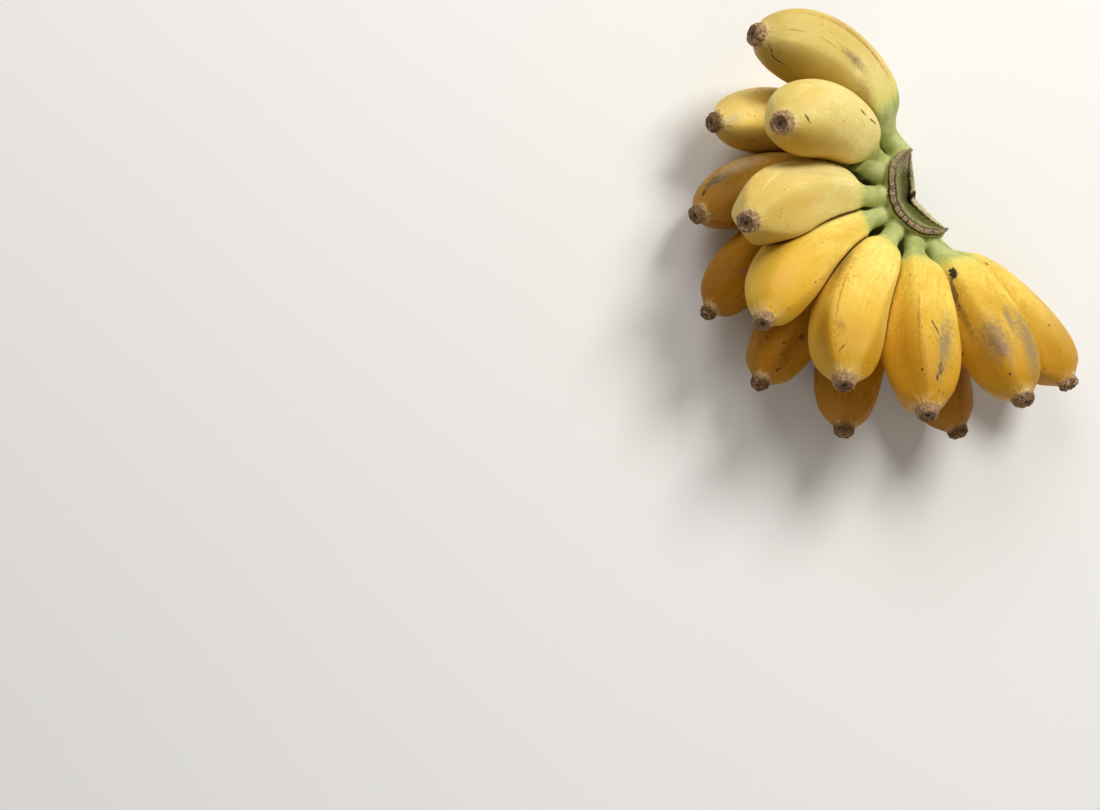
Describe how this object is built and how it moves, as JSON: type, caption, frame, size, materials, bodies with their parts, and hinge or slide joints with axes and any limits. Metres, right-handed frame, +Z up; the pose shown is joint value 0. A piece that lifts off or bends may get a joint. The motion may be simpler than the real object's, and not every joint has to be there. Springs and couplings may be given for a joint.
{
  "type": "bunch of bananas",
  "caption": "Hand of short, plump ripe dessert bananas in two rows, fanned out round the cut crown that joins them and lying on its bellies.",
  "frame": {"origin": "middle of the hand's footprint, on the surface it lies on", "axes": "+Z up; +Y along the fan's width, towards the finger with the longest curve beside the crown's upper end; +X from the fingers towards the crown's cut side"},
  "size_m": [0.2028, 0.2182, 0.0977],
  "materials": {
    "crown": "green pedicel stubs, brown-grey corky rim, dark olive cut face",
    "peel_pale": "pale buttery yellow peel, satin, green neck and dried brown flower end",
    "peel_golden": "golden yellow peel, satin, green neck and dried brown flower end",
    "peel_deep": "deep orange yellow peel, satin, green neck and dried brown flower end"
  },
  "bodies": {
    "root": {"crown": "crown", "banana_upper_1": "peel_pale", "banana_upper_2": "peel_pale", "banana_upper_3": "peel_pale", "banana_upper_4": "peel_pale", "banana_upper_5": "peel_golden", "banana_upper_6": "peel_golden", "banana_upper_7": "peel_golden", "banana_upper_8": "peel_golden", "banana_lower_1": "peel_deep", "banana_lower_2": "peel_deep", "banana_lower_3": "peel_deep", "banana_lower_4": "peel_deep", "banana_lower_5": "peel_deep", "banana_lower_6": "peel_deep"}
  },
  "joints": []
}
